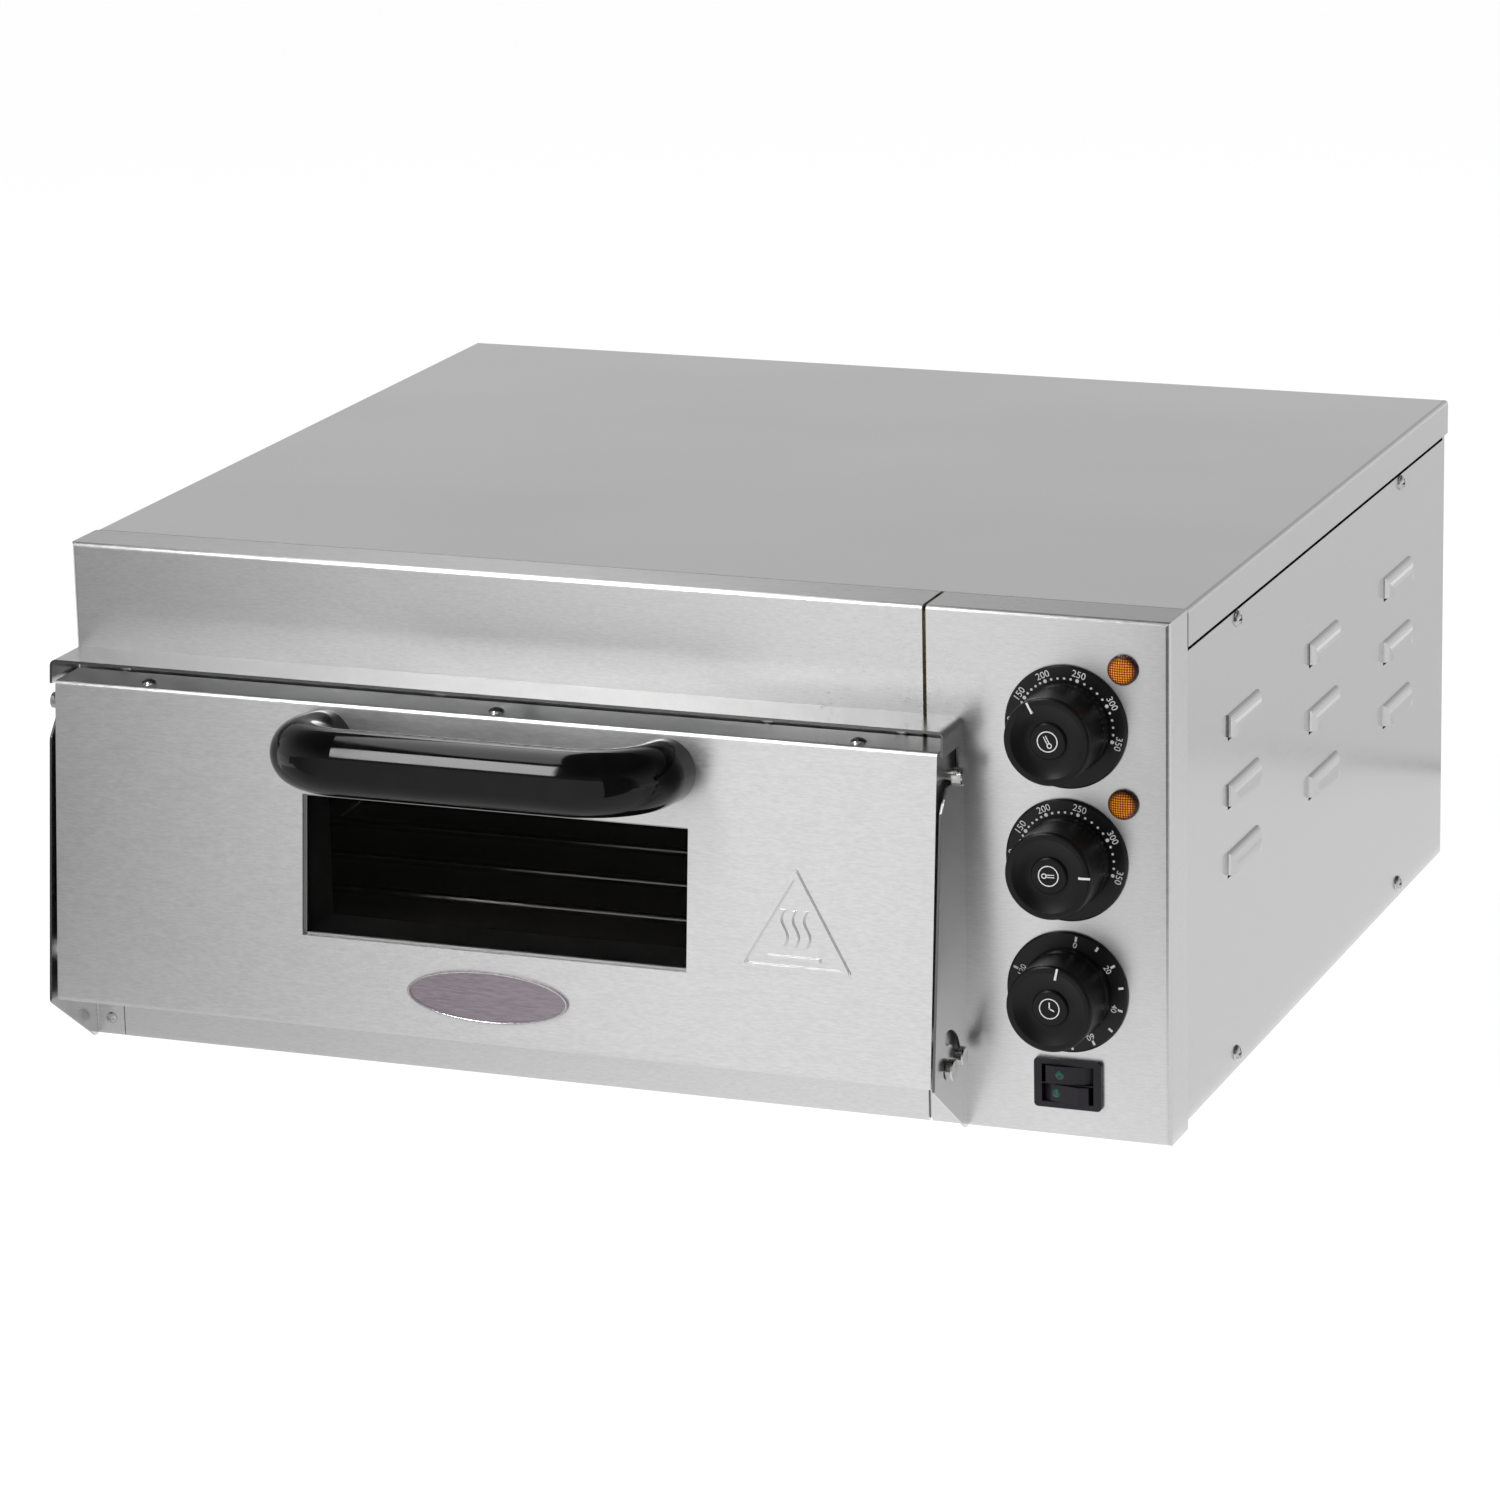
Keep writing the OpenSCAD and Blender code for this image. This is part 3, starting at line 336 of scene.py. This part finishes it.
FINISHES = {
    "stainless_front": brushed_steel("stainless_front", 0.72, 0.30, GRAIN_X, (0, 0.7, 0.7)),
    "stainless_body": brushed_steel("stainless_body", 0.70, 0.18, GRAIN_Y, (0.2, 0, 1), 0.0008, 0.012),
    # hood_steel gets painted shade along the front edges of its shelf and wings.
    "hood_steel": brushed_steel("hood_steel", 0.68, 0.20, GRAIN_Y, (0.2, 0, 1), 0.0001, 0.02,
                                recolour=raw_front_edges),
    "door_steel": brushed_steel("door_steel", 0.74, 0.30, GRAIN_X, (0, 0.7, 0.7)),
    "door_inner_steel": brushed_steel("door_inner_steel", 0.42, 0.38, GRAIN_X, (0, 0.7, 0.7)),
    "chamber_steel": bare_metal("chamber_steel", grey(0.07, 0.02), 0.5, grey(0.035, 0.08), 20),
    "mineral_wool": mineral_wool(),
    "fire_clay": fire_clay(),
    "rack_chrome": bare_metal("rack_chrome", grey(0.96), 0.09, grey(0.85, 0.03)),
    "element_sheath": bare_metal("element_sheath", grey(0.10, 0.05), 0.55, grey(0.20, 0.10), 160),
    "regulator_plastic": satin_plastic("regulator_plastic", grey(0.09), 0.45),
    "bulb_copper": bare_metal("bulb_copper", (0.72, 0.34, 0.20, 1), 0.30, (0.40, 0.18, 0.11, 1)),
    "amber_lens": amber_lens(),
    "dial_black": satin_plastic("dial_black", grey(0.005), 0.32, 900, 0.000001, Specular_IOR_Level=0.3),
    "switch_black": satin_plastic("switch_black", (0.010, 0.008, 0.012, 1), 0.42, 1400, 0.00002,
                                  Specular_IOR_Level=0.3),
    "green_lens": green_lens(),
    "terminal_ceramic": satin_plastic("terminal_ceramic", (0.72, 0.69, 0.60, 1), 0.35),
    "lead_insulation": satin_plastic("lead_insulation", (0.42, 0.05, 0.03, 1), 0.5),
    "gland_black": satin_plastic("gland_black", grey(0.02), 0.5),
    "foot_rubber": satin_plastic("foot_rubber", grey(0.018), 0.75, 700, 0.00006),
    "bright_screw": bare_metal("bright_screw", grey(0.72), 0.20, grey(0.50, 0.02), 400),
    "window_glass": window_glass(),
    "gasket_braid": gasket_braid(),
    "handle_black": satin_plastic("handle_black", grey(0.002), 0.07, 220, 0.000002, Specular_IOR_Level=0.26),
    "badge_metal": brushed_steel("badge_metal", 0.33, 0.26, BADGE_GRAIN, (0, 0, 1), 0.0001, 0.16,
                                 (1.0, 0.88, 0.97)),
    "knob_black": satin_plastic("knob_black", grey(0.004), 0.34, 1600, 0.000001, Specular_IOR_Level=0.22),
    "shaft_steel": bare_metal("shaft_steel", grey(0.66), 0.24, grey(0.45, 0.02)),
}
WHITE_PRINT = white_print()


def finish_cad_nodes():
    """Gives every CAD node the finish of its slot in the record."""
    slots = {s["node"]: s["material_slot"] for s in frame["record"]["subparts"]}
    for name, node in nodes.items():
        node.data.materials.clear()
        node.data.materials.append(FINISHES[slots[name]])


# ---------- meshes ----------

def mesh_object(name, mesh, material):
    """Turns a bmesh into an object with one material."""
    data = bpy.data.meshes.new(name)
    mesh.to_mesh(data)
    mesh.free()
    data.materials.append(material)
    return put_in_scene(name, data)


def add_piece(name, mesh, material, body):
    """Turns a bmesh into a piece that rides on a body."""
    piece = mesh_object(name, mesh, material)
    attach(piece, body)


def around(centre, angle, radius):
    """The (x, z) place at an angle and a distance from the centre."""
    return (centre[0] + radius * math.cos(angle), centre[1] + radius * math.sin(angle))


def disc_outline(centre, radius, steps):
    return [around(centre, 2 * math.pi * i / steps, radius) for i in range(steps)]


def bar_outline(centre, angle, inner, outer, width):
    """A short bar that points away from the centre."""
    along = Vector((math.cos(angle), math.sin(angle)))
    across = Vector((-along.y, along.x)) * width / 2
    corners = (along * inner - across, along * outer - across, along * outer + across, along * inner + across)
    return [(centre[0] + c.x, centre[1] + c.y) for c in corners]


def prism(mesh, outline, y_front, y_back):
    """Adds a closed solid: an (x, z) outline between two depths."""
    front = [mesh.verts.new((x, y_front, z)) for x, z in outline]
    back = [mesh.verts.new((x, y_back, z)) for x, z in outline]
    mesh.faces.new(front)
    mesh.faces.new(reversed(back))
    for i in range(len(outline)):
        j = (i + 1) % len(outline)
        mesh.faces.new((front[j], front[i], back[i], back[j]))


def join_loops(mesh, loops):
    """Adds the faces between each loop of points and the next, and between the last and the first."""
    for this, following in zip(loops, loops[1:] + loops[:1]):
        for i in range(len(this)):
            j = (i + 1) % len(this)
            mesh.faces.new((this[i], this[j], following[j], following[i]))


def ring(mesh, centre, outer, inner, y_front, y_back, steps=40):
    """Adds a flat closed ring."""
    loops = []
    for radius, y in ((outer, y_front), (inner, y_front), (inner, y_back), (outer, y_back)):
        loops.append([mesh.verts.new((x, y, z)) for x, z in disc_outline(centre, radius, steps)])
    join_loops(mesh, loops)


# ---------- printing on the dials ----------

# Angles are in degrees, anticlockwise from the right as seen from the front.
PRINT_RISE = 0.06 * MM
DIGIT_SHARE = 0.7
TEMPERATURES = [100, 150, 200, 250, 300, 350]
BIG_DOT_ANGLES = [180, 147, 114, 75, 30, -13]
ZERO_BAR_ANGLE = 265
DOT_RADIUS = 23.3 * MM
STEPS_BETWEEN = 5
MINUTE_ZERO = 80
MINUTE_STEP = 23.5
MINUTE_BARS = 13
POINTERS = {"upper_thermostat": 118, "lower_thermostat": 2, "timer": 78}


def print_number(mesh, value, centre, angle, radius, height, y):
    """Adds a raised number, its top pointing away from the centre."""
    curve = bpy.data.curves.new("number", "FONT")
    curve.body = str(value)
    curve.size = height / DIGIT_SHARE
    curve.align_x = "CENTER"
    curve.align_y = "CENTER"
    curve.extrude = PRINT_RISE / 2
    text = put_in_scene("number", curve)
    bpy.context.view_layer.update()
    letters = bpy.data.meshes.new_from_object(text.evaluated_get(bpy.context.evaluated_depsgraph_get()))
    x, z = around(centre, angle, radius)
    stand = Matrix.Rotation(math.pi / 2, 4, "X")
    turn = Matrix.Rotation(math.pi / 2 - angle, 4, "Y")
    letters.transform(Matrix.Translation((x, y - PRINT_RISE / 2, z)) @ turn @ stand)
    mesh.from_mesh(letters)
    bpy.data.objects.remove(text)
    bpy.data.curves.remove(curve)
    bpy.data.meshes.remove(letters)


def print_dot(mesh, centre, angle, radius, steps, y):
    prism(mesh, disc_outline(around(centre, angle, DOT_RADIUS), radius, steps), y - PRINT_RISE, y)


def thermostat_print(mesh, centre, y):
    """Dots every ten degrees, larger ones and numbers every fifty, and a bar at zero."""
    for first, second in zip(BIG_DOT_ANGLES, BIG_DOT_ANGLES[1:]):
        for step in range(1, STEPS_BETWEEN):
            angle = math.radians(first + (second - first) * step / STEPS_BETWEEN)
            print_dot(mesh, centre, angle, 0.6 * MM, 12, y)
    for value, degrees in zip(TEMPERATURES, BIG_DOT_ANGLES):
        angle = math.radians(degrees)
        print_dot(mesh, centre, angle, 0.9 * MM, 16, y)
        print_number(mesh, value, centre, angle, 26.2 * MM, 3.2 * MM, y)
    zero_bar = bar_outline(centre, math.radians(ZERO_BAR_ANGLE), 22.5 * MM, 25.5 * MM, 0.7 * MM)
    prism(mesh, zero_bar, y - PRINT_RISE, y)


def timer_print(mesh, centre, y):
    """Bars every ten minutes, numbers every twenty."""
    for step in range(MINUTE_BARS):
        angle = math.radians(MINUTE_ZERO - MINUTE_STEP * step)
        prism(mesh, bar_outline(centre, angle, 25.6 * MM, 28 * MM, 1.1 * MM), y - PRINT_RISE, y)
        if step % 2 == 0:
            print_number(mesh, step * 10, centre, angle, 23.6 * MM, 2.8 * MM, y)


def knob_centre(body):
    """Middle of a knob's face, as (x, z), and the y of its front."""
    lo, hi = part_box(body + "_knob")
    return ((lo.x + hi.x) / 2, (lo.z + hi.z) / 2), lo.y


def make_dial_prints():
    """The printed scale on each dial plate."""
    plate_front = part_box("dial_plates")[0].y
    for body in POINTERS:
        centre, _ = knob_centre(body)
        mesh = bmesh.new()
        draw = timer_print if body == "timer" else thermostat_print
        draw(mesh, centre, plate_front)
        add_piece(body + "_scale", mesh, WHITE_PRINT, "cabinet")


# ---------- marks on the knobs ----------

# The clock's hands: degrees from the pointer, and length.
CLOCK_HANDS = ((12, 3.1 * MM), (-100, 2.6 * MM))
ICON_SINK = 1.1 * MM
POINTER_SINK = 1.6 * MM
POINTER_LIFT = 0.02 * MM


def clock_icon(mesh, centre, y, pointer):
    """The two hands of a clock."""
    for turn, length in CLOCK_HANDS:
        outline = bar_outline(centre, pointer + math.radians(turn), -0.3 * MM, length, 0.6 * MM)
        prism(mesh, outline, y - PRINT_RISE, y)


def thermometer_icon(mesh, centre, y, pointer):
    """A round bulb with the two walls of its tube."""
    bulb = around(centre, pointer, -2.1 * MM)
    ring(mesh, bulb, 1.3 * MM, 0.8 * MM, y - PRINT_RISE, y, 20)
    for offset in (-0.55 * MM, 0.55 * MM):
        wall = around(bulb, pointer + math.pi / 2, offset)
        prism(mesh, bar_outline(wall, pointer, 1.1 * MM, 5.0 * MM, 0.4 * MM), y - PRINT_RISE, y)


def make_knob_marks():
    """White pointer line and a ringed icon on each knob."""
    for body, degrees in POINTERS.items():
        centre, front = knob_centre(body)
        pointer = math.radians(degrees)
        mesh = bmesh.new()
        line = bar_outline(centre, pointer, 14.8 * MM, 20.4 * MM, 1.0 * MM)
        prism(mesh, line, front - POINTER_LIFT - PRINT_RISE, front + POINTER_SINK)
        icon_y = front + ICON_SINK
        ring(mesh, centre, 5.0 * MM, 4.5 * MM, icon_y - PRINT_RISE, icon_y)
        draw = clock_icon if body == "timer" else thermometer_icon
        draw(mesh, centre, icon_y, pointer)
        add_piece(body + "_pointer", mesh, WHITE_PRINT, body)


# ---------- badge ----------

# The rim's section: how far in from the badge's edge and how far behind its front, in millimetres.
RIM_SECTION = ((0.2, 0.4), (0.2, -0.02), (0.7, -0.1), (1.4, 0.4))
RIM_STEPS = 72


def make_badge_rim():
    """Bright bevelled rim round the blank oval badge, on the door's leaning face."""
    lo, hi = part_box("badge_plate")
    lean = math.radians(DOOR_LEAN)
    half_x = (hi.x - lo.x) / 2
    half_z = (hi.z - lo.z - BADGE_RISE * math.sin(lean)) / 2 / math.cos(lean)
    middle = Vector(((lo.x + hi.x) / 2, lo.y + half_z * math.sin(lean), (lo.z + hi.z) / 2))
    circle = disc_outline((0, 0), 1, RIM_STEPS)
    mesh = bmesh.new()
    loops = []
    for inset, behind in RIM_SECTION:
        wide = half_x - inset * MM
        tall = half_z - inset * MM
        loops.append([mesh.verts.new((x * wide, behind * MM, z * tall)) for x, z in circle])
    join_loops(mesh, loops)
    mesh.transform(Matrix.Translation(middle) @ Matrix.Rotation(-lean, 4, "X"))
    add_piece("badge_rim", mesh, FINISHES["bright_screw"], "door")


# ---------- studio ----------

HORIZON_TONE = 0.72
ZENITH_TONE = 0.06
ZENITH_HEIGHT = 0.75
FLOOR_TONE = 0.40
FLOOR_GLOW = 0.9
FLOOR_REACH = 12

# The softboxes stand a little left of their target: their direction's share to the side, and its
# share in the plane that runs forwards and up.
SOFTBOX_SIDE = -0.352
SOFTBOX_AHEAD = 0.936
SOFTBOX_DISTANCE = 1.5

# Where the reflected cards are, in metres: y of the front ones, x of the ones right of the oven,
# and y of the dark strip among these.
FRONT_Y = -0.5
SIDE_X = (0.29, 1.5)
EDGE_Y = (0.475, 0.49)


def make_floor():
    """A plain pale floor under the feet."""
    look = Look("floor_white", Roughness=0.9)
    look.set("Base Color", grey(FLOOR_TONE))
    look.set("Emission Color", WHITE)
    look.set("Emission Strength", FLOOR_GLOW)
    mesh = bmesh.new()
    bmesh.ops.create_grid(mesh, x_segments=1, y_segments=1, size=FLOOR_REACH)
    mesh_object("floor", mesh, look.material)


def smooth_ramp(tree, axis, span, tones):
    """Goes smoothly from the first tone to the second along one axis of the generated place."""
    place = add_node(tree, "ShaderNodeTexCoord").outputs["Generated"]
    along = add_node(tree, "ShaderNodeSeparateXYZ", {"Vector": place}).outputs[axis]
    inputs = {"Value": along, "From Min": span[0], "From Max": span[1],
              "To Min": tones[0], "To Max": tones[1]}
    return add_node(tree, "ShaderNodeMapRange", inputs, interpolation_type="SMOOTHSTEP").outputs["Result"]


def make_world():
    """Soft surrounding light, brighter towards the horizon than overhead."""
    world = bpy.data.worlds.new("studio")
    world.use_nodes = True
    tree = world.node_tree
    background = tree.nodes["Background"]
    feed(tree, background.inputs["Color"], WHITE)
    strength = smooth_ramp(tree, "Z", (0, ZENITH_HEIGHT), (HORIZON_TONE, ZENITH_TONE))
    feed(tree, background.inputs["Strength"], strength)
    bpy.context.scene.world = world


def add_softbox(name, target, rise, size, power):
    """A long soft light over the target; rise is its angle up from the front, in degrees."""
    turn = math.radians(rise)
    towards = Vector((SOFTBOX_SIDE, -SOFTBOX_AHEAD * math.cos(turn), SOFTBOX_AHEAD * math.sin(turn)))
    along = Vector((0, math.sin(turn), math.cos(turn)))
    light = bpy.data.lights.new(name, "AREA")
    light.shape = "RECTANGLE"
    light.size, light.size_y = size
    light.energy = power
    lamp = put_in_scene(name, light)
    axes = Matrix((along.cross(towards), along, towards)).transposed().to_4x4()
    lamp.matrix_world = Matrix.Translation(target + SOFTBOX_DISTANCE * towards) @ axes


def add_flag(name, corners, tones, span=(0, 1)):
    """A grey card for the steel to reflect, shaded from its low x to its high x.

    The camera doesn't see it, and it gives no diffuse light and no shadow."""
    card = bpy.data.materials.new(name)
    card.use_nodes = True
    tree = card.node_tree
    tree.nodes.remove(tree.nodes["Principled BSDF"])
    glow = add_node(tree, "ShaderNodeEmission", {"Strength": smooth_ramp(tree, "X", span, tones)})
    feed(tree, tree.nodes["Material Output"].inputs["Surface"], glow.outputs["Emission"])
    mesh = bmesh.new()
    mesh.faces.new([mesh.verts.new(c) for c in corners])
    flag = mesh_object(name, mesh, card)
    flag.visible_camera = False
    flag.visible_diffuse = False
    flag.visible_shadow = False


def standing(x_range, height):
    """Corners of a card that stands on the floor in front of the oven."""
    x0, x1 = x_range
    return [(x0, FRONT_Y, 0), (x1, FRONT_Y, 0), (x1, FRONT_Y, height), (x0, FRONT_Y, height)]


def lying(x_range, y_range):
    """Corners of a card that lies just above the floor."""
    x0, x1 = x_range
    y0, y1 = y_range
    return [(x0, y0, MM), (x1, y0, MM), (x1, y1, MM), (x0, y1, MM)]


def make_studio():
    """Floor, surrounding light, two softboxes and the cards that the steel reflects."""
    make_floor()
    make_world()
    grip = Vector((-0.06, -0.29, 0.18))
    add_softbox("front_softbox", grip, 51, (0.30, 0.80), 12)
    add_softbox("overhead_softbox", grip, 108, (0.28, 1.7), 4.5)
    add_flag("front_flag", standing((-1.4, 0.20), 0.29), (0.20, 0.86), (0.52, 0.88))
    add_flag("right_flag", standing((0.20, 1.3), 0.5), (0.08, 0.45), (0.3, 1.0))
    add_flag("front_table", lying((-0.7, 0.6), (FRONT_Y, -0.19)), (0.50, 0.92), (0.2, 0.7))
    add_flag("near_table", lying(SIDE_X, (-0.3, EDGE_Y[0])), (0.74, 0.80))
    add_flag("table_edge", lying(SIDE_X, EDGE_Y), (0.30, 0.30))
    add_flag("far_table", lying(SIDE_X, (EDGE_Y[1], 2.0)), (0.64, 0.70))
    bpy.context.scene.view_settings.view_transform = "Standard"


make_camera()
finish_cad_nodes()
make_dial_prints()
make_knob_marks()
make_badge_rim()
make_studio()
